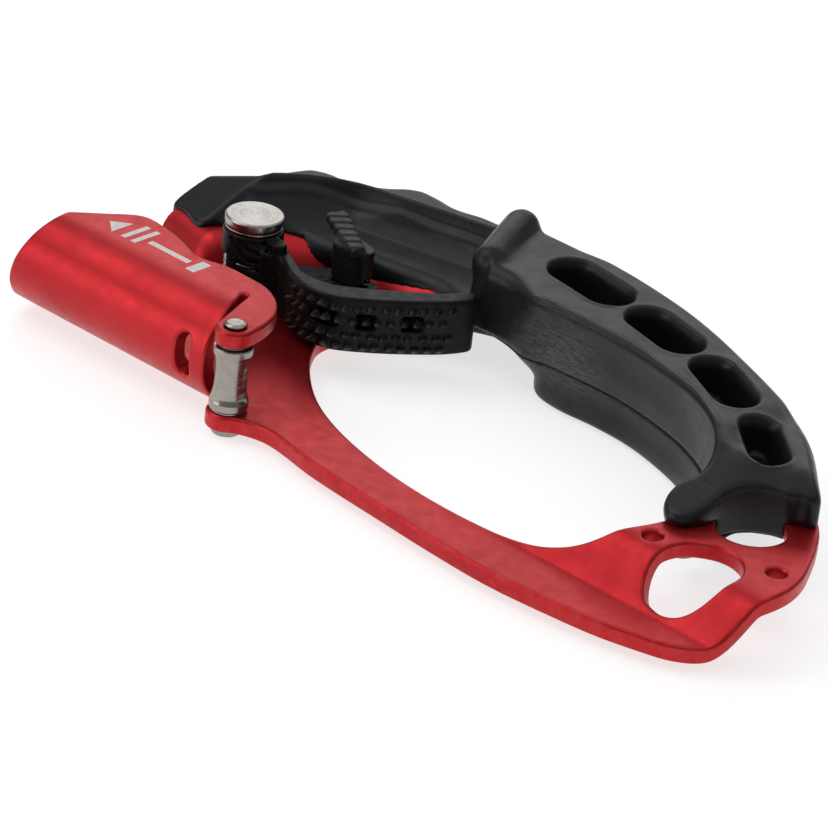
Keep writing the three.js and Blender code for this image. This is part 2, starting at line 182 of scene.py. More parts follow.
def arc(centre, radius, start, end, step=1.0):
    """Points on an arc, angles in degrees."""
    count = max(3, int(abs(math.radians(end - start)) * radius / step) + 1)
    angles = np.radians(np.linspace(start, end, count))
    return np.stack([centre[0] + radius * np.cos(angles), centre[1] + radius * np.sin(angles)], 1)


def circle(centre, radius, count=32):
    return arc(centre, radius, 0, 360, 2 * math.pi * radius / count)[:-1]


def stadium(a, b, width, step=0.5):
    a, b = np.array(a, float), np.array(b, float)
    direction = math.degrees(math.atan2(b[1] - a[1], b[0] - a[0]))
    ends = [arc(a, width / 2, direction + 90, direction + 270, step),
            arc(b, width / 2, direction - 90, direction + 90, step)]
    return np.vstack(ends)


def resample(points, step):
    """Even spacing round a closed outline."""
    ring = np.vstack([points, points[:1]])
    lengths = np.r_[0, np.cumsum(np.linalg.norm(np.diff(ring, axis=0), axis=1))]
    count = max(8, int(lengths[-1] / step))
    at = np.linspace(0, lengths[-1], count, endpoint=False)
    return np.stack([np.interp(at, lengths, ring[:, k]) for k in (0, 1)], 1)


# ---------------- fields
def smoothstep(x, low, high):
    t = np.clip((x - low) / (high - low), 0, 1)
    return t * t * (3 - 2 * t)


def soft_min(a, b, k):
    h = np.clip(0.5 + 0.5 * (b - a) / k, 0, 1)
    return b * (1 - h) + a * h - k * h * (1 - h)


def soft_max(a, b, k):
    return -soft_min(-a, -b, k)


def segment_gap(x, y, a, b):
    """Squared distance in plan to the segment from a to b."""
    ex, ey = b[0] - a[0], b[1] - a[1]
    wx, wy = x - a[0], y - a[1]
    t = np.clip((wx * ex + wy * ey) / (ex * ex + ey * ey + 1e-12), 0, 1)
    return (wx - ex * t) ** 2 + (wy - ey * t) ** 2


def line_distance(x, y, points):
    """Unsigned distance in plan to an open polyline."""
    best = np.full(x.shape, 1e18)
    points = np.asarray(points, float)
    for a, b in zip(points[:-1], points[1:]):
        best = np.minimum(best, segment_gap(x, y, a, b))
    return np.sqrt(best)


def polygon_distance(x, y, outline):
    """Signed distance in plan to a closed outline, negative inside."""
    inside = np.zeros(x.shape, bool)
    ring = np.vstack([outline, outline[:1]])
    for (ax, ay), (bx, by) in zip(ring[:-1], ring[1:]):
        at = ax + (y - ay) * (bx - ax) / ((by - ay) or 1e-12)
        inside ^= ((ay > y) != (by > y)) & (x < at)
    distance = line_distance(x, y, ring)
    return np.where(inside, -distance, distance)


def rounded(plan, upright, radius):
    """Joins a plan distance and a height distance with a rounded edge."""
    a, b = plan + radius, upright + radius
    outside = np.sqrt(np.maximum(a, 0) ** 2 + np.maximum(b, 0) ** 2)
    return np.minimum(np.maximum(a, b), 0) + outside - radius


class Grid:
    """Box of sample points, in working-frame millimetres."""

    def __init__(self, low, high, step):
        self.low, self.step = np.array(low, float), step
        axes = [np.arange(low[k], high[k] + step, step) for k in range(3)]
        self.plan = np.meshgrid(axes[0], axes[1], indexing="ij")
        self.z = axes[2][None, None, :]

    def flat(self, field):
        """Gives a plan field a height axis."""
        return field[:, :, None]

    def mesh(self, name, field, material, smooth=0):
        grid = openvdb.FloatGrid(3.0)
        grid.copyFromArray(np.ascontiguousarray(field, dtype=np.float32))
        points, quads = grid.convertToQuads(isovalue=0.0)
        points = points.astype(float) * self.step + self.low
        obj = mesh_object(name, points, quads, material)
        if smooth:
            modifier = obj.modifiers.new("smooth", "CORRECTIVE_SMOOTH")
            modifier.use_only_smooth = True
            modifier.iterations = smooth
            modifier.factor = 0.5
        return obj


# ---------------- materials
class Shader:
    """Small helper for building one node material."""

    def __init__(self, name, color, metallic, roughness, **settings):
        self.material = bpy.data.materials.new(name)
        self.material.use_nodes = True
        self.tree = self.material.node_tree
        self.bsdf = self.tree.nodes["Principled BSDF"]
        self.bsdf.inputs["Base Color"].default_value = (*color, 1)
        self.bsdf.inputs["Metallic"].default_value = metallic
        self.bsdf.inputs["Roughness"].default_value = roughness
        for socket, value in settings.items():
            self.bsdf.inputs[socket.replace("_", " ")].default_value = value
        self.place = self.node("ShaderNodeTexCoord").outputs["Object"]
        self.bumps = []

    def node(self, kind, **inputs):
        node = self.tree.nodes.new(kind)
        for socket, value in inputs.items():
            self.put(node, socket.replace("_", " "), value)
        return node

    def put(self, node, socket, value):
        target = node.inputs[int(socket)] if socket.isdigit() else node.inputs[socket]
        if isinstance(value, bpy.types.NodeSocket):
            self.tree.links.new(value, target)
        else:
            target.default_value = value

    def noise(self, per_mm, detail=3, rough=0.55, place=None, stretch=None, distortion=0):
        """Noise with about `per_mm` features to the millimetre."""
        source = place or self.place
        if stretch:
            source = self.node("ShaderNodeMapping", Vector=source, Scale=stretch).outputs[0]
        node = self.node("ShaderNodeTexNoise", Vector=source, Scale=per_mm / MM,
                         Detail=detail, Roughness=rough, Distortion=distortion)
        return node.outputs["Fac"]

    def attribute(self, name):
        node = self.node("ShaderNodeAttribute")
        node.attribute_name = name
        return node.outputs["Fac"]

    def ramp(self, value, low, high, start=0.0, end=1.0):
        node = self.node("ShaderNodeMapRange")
        node.interpolation_type = "SMOOTHSTEP"
        for socket, number in (("Value", value), ("From Min", low), ("From Max", high),
                               ("To Min", start), ("To Max", end)):
            self.put(node, socket, number)
        return node.outputs[0]

    def math(self, operation, a, b):
        node = self.node("ShaderNodeMath")
        node.operation = operation
        self.put(node, "0", a)
        self.put(node, "1", b)
        return node.outputs[0]

    def mix(self, factor, a, b):
        node = self.node("ShaderNodeMix")
        node.data_type = "RGBA"
        for index, value in ((0, factor), (6, a), (7, b)):
            self.put(node, str(index), value)
        return node.outputs[2]

    def set(self, socket, value):
        self.put(self.bsdf, socket, value)

    def bump(self, height, depth_mm):
        """Adds a layer of relief `depth_mm` deep."""
        node = self.node("ShaderNodeBump", Height=height, Distance=depth_mm * MM)
        if self.bumps:
            self.put(node, "Normal", self.bumps[-1])
        self.bumps.append(node.outputs[0])
        self.set("Normal", node.outputs[0])


def anodised_red():
    """Bead-blasted aluminium, dyed red, paler where its edges are rubbed."""
    base, dark, worn = (0.48, 0.020, 0.024, 1), (0.41, 0.013, 0.018, 1), (0.60, 0.10, 0.10, 1)
    s = Shader("anodised_red", base[:3], 0.82, 0.36)
    cloud = s.ramp(s.noise(0.05, 4), 0.35, 0.7)
    grain = s.noise(2.4, 3, 0.6)
    rubbed = s.math("MULTIPLY", s.attribute("rim"), s.ramp(s.noise(0.35, 5, 0.7), 0.42, 0.66))
    color = s.mix(cloud, base, dark)
    s.set("Base Color", s.mix(s.math("MULTIPLY", rubbed, 0.18), color, worn))
    rough = s.ramp(s.noise(0.3, 5, 0.65), 0.3, 0.75, 0.31, 0.43)
    s.set("Roughness", s.math("ADD", rough, s.math("MULTIPLY", grain, 0.05)))
    s.bump(grain, 0.013)
    s.bump(s.noise(7.0, 2), 0.006)
    return s.material


def grip_rubber():
    """Moulded rubber: satin skin, fine grain, scuffs where the palm rubs and a little dust."""
    base, pale, scuffed = (0.0055, 0.0062, 0.0080, 1), (0.0085, 0.0094, 0.0115, 1), (0.085, 0.081, 0.074, 1)
    s = Shader("grip_rubber", base[:3], 0.0, 0.42, Specular_IOR_Level=0.25)
    cloud = s.ramp(s.noise(0.06, 4), 0.3, 0.7)
    streaks = s.noise(1.1, 5, 0.75, stretch=(0.35, 1.6, 1.9), distortion=0.6)
    scuff = s.math("MULTIPLY", s.attribute("scuff"), s.ramp(streaks, 0.36, 0.66))
    dust = s.math("MULTIPLY", s.ramp(s.noise(1.9, 2, 0.4), 0.70, 0.78), 0.35)
    color = s.mix(cloud, base, pale)
    color = s.mix(scuff, color, scuffed)
    s.set("Base Color", s.mix(dust, color, scuffed))
    rough = s.ramp(s.noise(0.22, 5, 0.6), 0.3, 0.7, 0.30, 0.40)
    s.set("Roughness", s.math("ADD", rough, s.math("MULTIPLY", scuff, 0.16)))
    s.bump(s.noise(3.2, 3, 0.6), 0.022)
    s.bump(s.noise(0.16, 2), 0.04)
    s.bump(s.math("MULTIPLY", scuff, streaks), 0.05)
    return s.material


def cam_steel():
    """Cast steel with a thin black coating, rubbed bright on the tips of the teeth."""
    coat, pale, bare = (0.004, 0.004, 0.0043, 1), (0.0085, 0.0085, 0.0085, 1), (0.07, 0.068, 0.065, 1)
    s = Shader("cam_steel", coat[:3], 0.0, 0.40, Specular_IOR_Level=0.16)
    worn = s.math("MULTIPLY", s.attribute("tip"), s.ramp(s.noise(0.9, 4, 0.7), 0.4, 0.62))
    color = s.mix(s.ramp(s.noise(0.25, 5), 0.35, 0.7), coat, pale)
    s.set("Base Color", s.mix(worn, color, bare))
    s.set("Metallic", s.math("MULTIPLY", worn, 0.8))
    s.set("Roughness", s.ramp(s.noise(0.5, 5, 0.7), 0.3, 0.7, 0.33, 0.50))
    s.bump(s.noise(1.7, 4, 0.65), 0.05)
    s.bump(s.noise(6.0, 2), 0.012)
    return s.material


def black_plastic():
    """Glass-filled moulded plastic with a spark-eroded texture."""
    s = Shader("black_plastic", (0.009, 0.009, 0.010), 0.0, 0.46, Specular_IOR_Level=0.3)
    color = s.mix(s.ramp(s.noise(0.2, 4), 0.3, 0.7), (0.008, 0.008, 0.009, 1), (0.016, 0.016, 0.017, 1))
    s.set("Base Color", color)
    s.set("Roughness", s.ramp(s.noise(0.7, 5, 0.7), 0.3, 0.7, 0.38, 0.56))
    s.bump(s.noise(4.2, 3, 0.6), 0.03)
    return s.material


def turned_steel(name, axis, color=(0.60, 0.575, 0.53), roughness=0.24, lines=5.0, depth=0.006):
    """Lathe-turned stainless steel: fine rings about an upright axis and faint rub marks."""
    s = Shader(name, color, 1.0, roughness, Anisotropic=0.55)
    centre = tuple(ORIGIN + Vector((axis[0] * MM, axis[1] * MM, 0)))
    shifted = s.node("ShaderNodeVectorMath")
    shifted.operation = "SUBTRACT"
    s.put(shifted, "0", s.place)
    s.put(shifted, "1", centre)
    parts = s.node("ShaderNodeSeparateXYZ", Vector=shifted.outputs[0])
    x, y, z = parts.outputs
    radius = s.math("SQRT", s.math("ADD", s.math("MULTIPLY", x, x), s.math("MULTIPLY", y, y)), 0)
    rings = s.node("ShaderNodeCombineXYZ", X=radius, Y=z).outputs[0]
    turning = s.noise(lines, 3, 0.7, place=rings)
    smear = s.noise(0.5, 4, 0.6)
    s.set("Roughness", s.math("ADD", s.ramp(turning, 0.3, 0.7, roughness - 0.06, roughness + 0.08),
                              s.math("MULTIPLY", smear, 0.05)))
    tint = s.mix(s.ramp(smear, 0.35, 0.7), (*color, 1), (*[c * 0.86 for c in color], 1))
    s.set("Base Color", tint)
    s.bump(turning, depth)
    tangent = s.node("ShaderNodeTangent")
    tangent.direction_type = "RADIAL"
    tangent.axis = "Z"
    s.set("Tangent", tangent.outputs[0])
    return s.material


def spring_steel():
    s = Shader("spring_steel", (0.50, 0.48, 0.45), 1.0, 0.28)
    s.set("Roughness", s.ramp(s.noise(1.5, 4), 0.3, 0.7, 0.2, 0.4))
    s.bump(s.noise(5.0, 2), 0.006)
    return s.material


def bronze():
    s = Shader("bronze", (0.44, 0.29, 0.12), 1.0, 0.38)
    speckle = s.noise(5.0, 3, 0.7)
    s.set("Base Color", s.mix(s.ramp(speckle, 0.4, 0.7), (0.46, 0.30, 0.13, 1), (0.28, 0.17, 0.07, 1)))
    s.set("Roughness", s.ramp(speckle, 0.3, 0.7, 0.3, 0.5))
    s.bump(speckle, 0.01)
    return s.material


def etched_mark():
    """Pale laser-etched surface of the direction mark."""
    s = Shader("etched_mark", (0.72, 0.69, 0.68), 0.15, 0.55)
    s.set("Base Color", s.mix(s.ramp(s.noise(1.5, 4, 0.7), 0.35, 0.75),
                              (0.76, 0.73, 0.72, 1), (0.60, 0.50, 0.49, 1)))
    s.bump(s.noise(7.0, 2), 0.01)
    return s.material


RED = anodised_red()
RUBBER = grip_rubber()
CAM_STEEL = cam_steel()
PLASTIC = black_plastic()
SPRING = spring_steel()
BRONZE = bronze()
MARK = etched_mark()
PIVOT_STEEL = turned_steel("pivot_steel", PIVOT, (0.41, 0.39, 0.365), 0.22)
ROLLER_STEEL = turned_steel("roller_steel", (0, 0), (0.335, 0.31, 0.28), 0.20, lines=3.0, depth=0.0015)
CATCH_STEEL = turned_steel("catch_steel", CATCH)


# ---------------- the formed body
SHEET = 3.8
RISE = 9.0
CHANNEL_HEIGHT = 23.0
CHANNEL_Y = 9.2
CHANNEL_END = -6.2
LEAD_IN = [(0, -69.6), (3, -68.6), (5.5, -67.0), (8.4, -66.1), (13.4, -64.3), (18.5, -61.9),
           (21.6, -60.2), (23, -58.9)]          # height and x of the slanted upper end
BEND_RADIUS = (CHANNEL_HEIGHT - SHEET) / 2
MID_Z = SHEET / 2
FOLD = CHANNEL_Y - math.pi * BEND_RADIUS     # where the flange starts in the flat blank
FILLET = 0.75
FILLET_STEPS = 4
BLANK_STEP = 1.0
FLANGE_SUM = FOLD + CHANNEL_Y        # blank v = FLANGE_SUM - y on the flange
SLIT = (np.array([-5.45, 1.2]), np.array([-9.2, 11.9]), 1.5)
LOBE_SPLIT = -7.0                    # blank v between the front and the rear rivet lobes


def soft_clamp(u, k):
    """Ramp from 0 to 1 with rounded ends."""
    return 0.5 * (np.sqrt(u * u + k * k) - np.sqrt((u - 1) ** 2 + k * k) + 1)


def body_rise(x, y):
    """How far the sheet has stepped up at a place in plan."""
    lower = soft_clamp((y - 5.8) / 9.0, 0.17) * smoothstep(x, 40, 62)
    straight = soft_clamp((y - 56.5) / 9.0, 0.17)
    diagonal = soft_clamp((y - x - 87.4) / math.sqrt(2) / 3.4, 0.30)
    end = soft_clamp(((x + 49) * 4 + (y - 42) * 16) / 16.49 / 4.0 + 0.8, 0.30)
    upper = np.maximum(straight, np.minimum(diagonal, end))
    upper = np.where(x < -20, upper, straight)
    return RISE * np.where(y < 26, lower * (x > 30), np.maximum(upper, lower))


def slit_x(y):
    """x of the relief slit's middle at a height in plan."""
    (ax, ay), (bx, by), _ = SLIT
    t = np.clip((y - ay) / (by - ay), 0, 1)
    return ax + (bx - ax) * t


def blank_to_body(points):
    """Middle surface of the formed body, and its normal, at places in the flat blank."""
    x, v = points[:, 0], points[:, 1]
    on_flange = v <= FOLD
    flange_y = FLANGE_SUM - v
    right_rear = (x > slit_x(v)) & ((v > LOBE_SPLIT) | (x >= 8))
    right_front = (v <= LOBE_SPLIT) & (x < 8) & (x > slit_x(flange_y))
    front = on_flange | right_front
    base = (v >= CHANNEL_Y) | right_rear
    phi = (CHANNEL_Y - v) / BEND_RADIUS
    bend = np.stack([x, CHANNEL_Y - BEND_RADIUS * np.sin(phi),
                     CHANNEL_HEIGHT / 2 - BEND_RADIUS * np.cos(phi)], 1)
    bend_n = np.stack([0 * x, np.sin(phi), np.cos(phi)], 1)
    flange = np.stack([x, flange_y, 0 * x + CHANNEL_HEIGHT - MID_Z], 1)
    flange_n = np.tile([0.0, 0.0, -1.0], (len(x), 1))
    z = MID_Z + body_rise(x, v)
    e = 0.05
    dzdx = (body_rise(x + e, v) - body_rise(x - e, v)) / (2 * e)
    dzdy = (body_rise(x, v + e) - body_rise(x, v - e)) / (2 * e)
    base_n = np.stack([-dzdx, -dzdy, np.ones_like(x)], 1)
    base_n /= np.linalg.norm(base_n, axis=1)[:, None]
    flat = np.stack([x, v, z], 1)
    place = np.where(front[:, None], flange, np.where(base[:, None], flat, bend))
    normal = np.where(front[:, None], flange_n, np.where(base[:, None], base_n, bend_n))
    return place, normal


def blank_outline():
    """The outer loop of the flat blank, anticlockwise."""
    a, b, width = SLIT
    u = (b - a) / np.linalg.norm(b - a)
    side = np.array([u[1], -u[0]]) * width / 2
    heading = math.degrees(math.atan2(side[1], side[0]))
    to_blank = lambda p: np.stack([p[:, 0], FLANGE_SUM - p[:, 1]], 1)

    arm = spline([(2.3, -4.1), (4.6, -2.1), (11, -0.2), (27.7, -2.9), (46.8, -4.8), (65, -6.4),
                  (80, -7), (94, -6.0), (106.5, -4.4), (115.6, -2.1), (120.8, -0.4), (124.6, 2.0),
                  (127.0, 4.6), (128.7, 7.4), (129.7, 10.6), (130.4, 14.2), (131.2, 18.6),
                  (131.2, 23.6), (129.8, 29.2), (127, 35.1), (123.6, 41.2), (119, 47.6), (108, 57),
                  (96, 62), (78, 68.5), (55, 75), (32, 79), (6, 79.5), (-20, 75), (-48, 65),
                  (-61, 53), (-64.8, 46)], 1.0, closed=False)
    phi = np.linspace(0, math.pi, 34)
    z = CHANNEL_HEIGHT / 2 - BEND_RADIUS * np.cos(phi)
    lead_in = np.stack([np.interp(z, *zip(*LEAD_IN)), CHANNEL_Y - BEND_RADIUS * phi], 1)
    left_edge = np.linspace((-64.8, 46), lead_in[0], 40)[1:-1]
    flange = spline([lead_in[-1] * [1, 0] + [0.3, CHANNEL_Y + 0.6], (-55.6, 15.0), (-49.1, 21.5),
                     (-40.6, 21.0), (-34.6, 19.4), (-28, 17.2), (-21.2, 18.9), (-14.9, 19),
                     (-8.8, 18.4), (-3.3, 15.6), (0.8, 11.1), (3.1, 5.8), (4.1, 0.5)],
                    1.0, closed=False)
    front_lobe = arc((0, 0), 4.12, 2, -176, 0.7)
    front_slit = np.vstack([[a + side], [b + side], arc(b, width / 2, heading, heading + 180, 0.3),
                            [b - side], [(CHANNEL_END, 3.0)]])
    tube_end = np.linspace((CHANNEL_END, FLANGE_SUM - 2.2), (CHANNEL_END, 2.2), 24)
    rear_slit = np.vstack([[(CHANNEL_END, 3.0)], [b - side],
                           arc(b, width / 2, heading + 180, heading, 0.3), [b + side], [a + side]])
    rear_lobe = arc((0, 0), 4.7, 180, 300, 0.7)
    loop = np.vstack([left_edge, lead_in, to_blank(flange), to_blank(front_lobe),
                      to_blank(front_slit), tube_end, rear_slit, rear_lobe, arm])
    return resample(loop, BLANK_STEP * 0.7)


HAND_OPENING = [(0.2, 24.7), (8.8, 18.0), (18.7, 13.0), (32.9, 8.6), (46.4, 6.3), (60.8, 5.6),
                (73.5, 6.5), (82.6, 8.3), (89, 11.1), (93.6, 15.2), (96, 19.5), (97.8, 26), (98, 34),
                (92, 47), (80, 58), (58, 66.6), (25, 67.4), (10, 63.5), (2, 59.5), (-5, 54.5),
                (-10, 47.5), (-10.6, 39.2), (-6.8, 32.2)]
CARABINER_HOLE = [(106.4, 10.1), (108.4, 8.2), (110.8, 7.5), (113.5, 7.2), (116.2, 7.8), (118.1, 8.9),
                  (119.5, 10.4), (120.6, 12.3), (121.5, 14.7), (121.9, 17.4), (121.4, 20.1),
                  (120, 22.4), (117.8, 24.2), (114.8, 25.2), (111.7, 25), (108.9, 23.6),
                  (106.6, 21.5), (105.4, 18.9), (104.9, 16), (105.1, 12.8)]
ROUND_HOLE = ((110.5, 36.5), 7.3)
CORD_HOLES = [(100.2, 18.2), (125.3, 26.2)]


def blank_holes():
    oval_v = CHANNEL_Y - BEND_RADIUS * math.pi / 2
    return [
        resample(spline(HAND_OPENING, 0.7), 0.75),
        resample(spline(CARABINER_HOLE, 0.5), 0.6),
        circle(*ROUND_HOLE, 56),
        *[circle(place, 2.0, 28) for place in CORD_HOLES],
        circle((0, 0), 2.2, 24),
        circle((0, FLANGE_SUM), 2.2, 24),
        circle((PIVOT.x, PIVOT.y), 3.65, 32),
        resample(stadium((-12.7, oval_v - 2.3), (-12.7, oval_v + 2.3), 4.2, 0.4), 0.5),
    ]


def loop_normals(loop):
    """Unit normals of an anticlockwise loop, pointing out of it."""
    ahead = np.roll(loop, -1, 0) - np.roll(loop, 1, 0)
    normal = np.stack([ahead[:, 1], -ahead[:, 0]], 1)
    return normal / np.linalg.norm(normal, axis=1)[:, None]


def make_frame():
    outer = blank_outline()
    holes = blank_holes()
    loops = [(outer, loop_normals(outer))] + [(hole, -loop_normals(hole)) for hole in holes]
    inset = [loop - away * FILLET for loop, away in loops]

    gx, gv = np.meshgrid(np.arange(-70, 132, BLANK_STEP), np.arange(-34, 80, BLANK_STEP),
                         indexing="ij")
    clear = -polygon_distance(gx, gv, inset[0])
    for loop in inset[1:]:
        clear = np.minimum(clear, polygon_distance(gx, gv, loop))
    inner = np.stack([gx[clear > 0.45], gv[clear > 0.45]], 1)

    points = [*[tuple(p) for loop in inset for p in loop], *[tuple(p) for p in inner]]
    edges, start = [], 0
    for loop in inset:
        count = len(loop)
        edges += [(start + i, start + (i + 1) % count) for i in range(count)]
        start += count
    flat, _, faces, origin, _, _ = delaunay_2d_cdt([Vector(p) for p in points], edges, [], 0, 1e-5)
    flat = np.array([tuple(p) for p in flat])
    faces = np.array([f for f in faces])
    middle = flat[faces].mean(1)
    keep = polygon_distance(middle[:, :1], middle[:, 1:], inset[0])[:, 0] < 0
    for loop in inset[1:]:
        keep &= polygon_distance(middle[:, :1], middle[:, 1:], loop)[:, 0] > 0
    faces = faces[keep]
    found = {source: i for i, sources in enumerate(origin) for source in sources}

    half = SHEET / 2
    place, normal = blank_to_body(flat)
    count = len(flat)
    verts = [place + normal * half, place - normal * half]
    rim = [np.zeros(2 * count)]
    polys = [tuple(f) for f in faces] + [tuple(f[::-1] + count) for f in faces]
    total, start = 2 * count, 0
    angles = np.radians(np.linspace(0, 90, FILLET_STEPS + 1))[1:]
    for (loop, away), flat_loop in zip(loops, inset):
        size = len(loop)
        ring = np.array([found[start + i] for i in range(size)])
        start += size
        rows = [ring]
        for side in (1, -1):
            for angle in angles if side == 1 else angles[::-1]:
                at = flat_loop + away * FILLET * math.sin(angle)
                mid, up = blank_to_body(at)
                verts.append(mid + up * side * (half - FILLET * (1 - math.cos(angle))))
                rim.append(np.ones(size))
                rows.append(np.arange(total, total + size))
                total += size
        rows.append(ring + count)
        for upper, lower in zip(rows[:-1], rows[1:]):
            for i in range(size):
                j = (i + 1) % size
                quad = (upper[i], lower[i], lower[j], upper[j])
                polys.append(quad if loop is outer else quad[::-1])
    obj = mesh_object("body", np.vstack(verts), polys, RED)
    add_float(obj, "rim", np.concatenate(rim))
    tidy_mesh(obj)
    weighted_normals(obj)
    return finish_piece(obj, "body", "anodised_red", "frame")


make_frame()


# ---------------- the handle
GRIP_TOP = 24.0
PARTING = 8.6
SEAM = 0.012
GRIP_STEP = 0.5
OUTER_SIDE = [(118.7, 46.8), (114.2, 51.9), (104.8, 61.4), (94.8, 68.3), (76, 77), (56, 84.4),
              (38, 88.1), (22, 89.5), (8, 89.6), (-3, 89.6), (-9, 89.3), (-15.5, 87.6),
              (-21, 88.3), (-27, 88.2), (-31.2, 85.4), (-34.6, 80.6), (-38.8, 77.8), (-44.5, 77.6),
              (-50, 75.4), (-54.3, 70.6), (-57.5, 66), (-61, 60.8), (-63.4, 56.4)]
FRONT_INNER = [(-65.2, 46.8), (-61, 46), (-53, 44), (-41, 54.5), (-28, 58.5), (-10, 62.3), (0, 63.6),
               (4, 62.6), (8, 62), (15, 63), (22, 62.4), (29.5, 60), (40, 60.3), (55, 60),
               (75.9, 55.5), (87, 49.5), (93.5, 43), (95.8, 36.5), (94.4, 31), (95.4, 26.6),
               (98.8, 23.5), (102.4, 24.4), (104.2, 28.5), (104.6, 34.5), (106, 38.8),
               (108.4, 41.2), (111, 42.2), (113.8, 42.9), (115.2, 44.4), (117.4, 45)]
REAR_INNER = [(-62, 57.5), (-50, 61), (-30, 68), (-6, 72), (3, 76.6), (10, 79), (17, 77.5),
              (24, 70), (29, 64.6), (36, 63), (46, 63.4), (56, 62.8), (66, 60.4), (76, 56.5),
              (87, 49), (93.5, 42), (96.5, 36), (96, 32), (97.4, 29.6), (100, 29.2), (102.6, 31),
              (104.7, 35.5), (106.1, 39.2), (108.5, 41.4), (111, 42.3), (114, 43.1), (117.4, 45)]
PALM_RIDGE = FRONT_INNER[11:17]
NOTCH = FRONT_INNER[22:]             # round the hole at the lower end
HORN_CORNER = (-63.3, 55.6)
CREST = [(-50.6, 59), (-44, 67), (-35.5, 72.6), (-24, 76), (-14.6, 78.3), (-7, 80), (2, 82)]
POCKETS = [((25.5, 77.3), (37, 75.6), 10.4), ((50.3, 73.6), (60.8, 71), 9.9),
           ((72.8, 67.4), (83.6, 61.9), 9.0), ((95, 56), (103, 49.4), 7.9)]
POCKET_FLOOR = 14.6
STOP = [((3.3, 85.1, 23.1), (9.6, 68.6, 21.9), 4.15), ((9.6, 68.6, 21.9), (10.8, 65.6, 14.5), 3.0)]


def crest_height(x, y, inside):
    """Top of the horn: beaded crest, hollow slope and ledge to the rope side, a fall outwards."""
    crest = spline(CREST, 1.0, closed=False)
    away = line_distance(x, y, crest)
    share = away / (away + np.maximum(inside, 0.01))
    rope_side = y < np.interp(x, crest[:, 0], crest[:, 1])
    hollow = np.interp(share, [0, 0.1, 0.28, 0.42, 0.55, 0.8, 1], [0, 1.6, 5.0, 7.2, 7.8, 8.1, 8.6])
    plain = 9.4 * share
    drop = plain + (hollow - plain) * smoothstep(x, -46, -30)
    outward = 1.6 * share
    bead = 0.6 * (1 - smoothstep(away, 0.6, 1.4)) \
        + 0.4 * (1 - smoothstep(np.abs(away - 2.6), 0.4, 1.0)) * rope_side
    return 22.0 - np.where(rope_side, drop, outward) + bead


def grip_top(x, y, inside):
    """Height of the handle's front face."""
    bar = GRIP_TOP - 0.012 * (x - 20).clip(0, 200) ** 1.02
    line = line_distance(x, y, PALM_RIDGE)
    bar = bar + 0.6 * (1 - smoothstep(line, 1.2, 2.8)) * smoothstep(x, 27, 32)
    notch = line_distance(x, y, NOTCH)
    bar = bar - 2.6 * (1 - smoothstep(notch, 0, 8))
    facet = 12.8 + 0.163 * (x + 65) + 0.527 * (y - 46)      # slanted end face of the horn
    dx, dy = x - HORN_CORNER[0], y - HORN_CORNER[1]
    back = 18 + 0.304 * (dx * 0.966 + dy * 0.259) - 0.58 * (dy * 0.966 - dx * 0.259)
    end = soft_min(facet, back, 0.6)
    horn = crest_height(x, y, inside)
    horn = end + (horn - end) * smoothstep(x - 0.125 * (y - 42.2), -53.7, -51.7)
    horn = soft_min(horn, np.where(x < -30, facet, 99), 0.5)
    top = horn + (bar - horn) * smoothstep(x + 0.35 * (y - 76), 4.5, 9)
    nose = 22.4 - 0.33 * (45 - y).clip(0, 30) + 7.0 * (1 - smoothstep(x, 78, 97))
    rims = np.full(x.shape, 9.0)
    for a, b, width in POCKETS:
        rims = np.minimum(rims, np.abs(polygon_distance(x, y, stadium(a, b, width)) - 0.9))
    return soft_min(top, nose, 2.0) + 0.4 * (1 - smoothstep(rims, 0.2, 1.2))


def capsule(grid, a, b, radius):
    a, b = np.array(a, float), np.array(b, float)
    ex, ey, ez = b - a
    gx, gy = grid.plan
    wx, wy, wz = grid.flat(gx) - a[0], grid.flat(gy) - a[1], grid.z - a[2]
    t = np.clip((wx * ex + wy * ey + wz * ez) / (ex * ex + ey * ey + ez * ez), 0, 1)
    return np.sqrt((wx - ex * t) ** 2 + (wy - ey * t) ** 2 + (wz - ez * t) ** 2) - radius


def plate_field(grid, clearance):
    """Signed distance, roughly, to the sheet that the handle is moulded round."""
    gx, gy = grid.plan
    plan = polygon_distance(gx, gy, blank_outline_plan())
    plan = np.maximum(plan, -polygon_distance(gx, gy, spline(HAND_OPENING, 2)))
    plan = np.maximum(plan, ROUND_HOLE[1] - np.hypot(gx - ROUND_HOLE[0][0], gy - ROUND_HOLE[0][1]))
    upright = np.abs(grid.z - grid.flat(MID_Z + body_rise(gx, gy))) - SHEET / 2
    return np.maximum(grid.flat(plan), upright) - clearance


def blank_outline_plan():
    """The body's outline from the front, without the rope channel's flange."""
    loop = blank_outline()
    return loop[loop[:, 1] > -8.5]


def vertex_places(obj):
    """Working-frame millimetres of an object's vertices."""
    flat = np.empty(len(obj.data.vertices) * 3)
    obj.data.vertices.foreach_get("co", flat)
    return (flat.reshape(-1, 3) - np.array(ORIGIN)) / MM


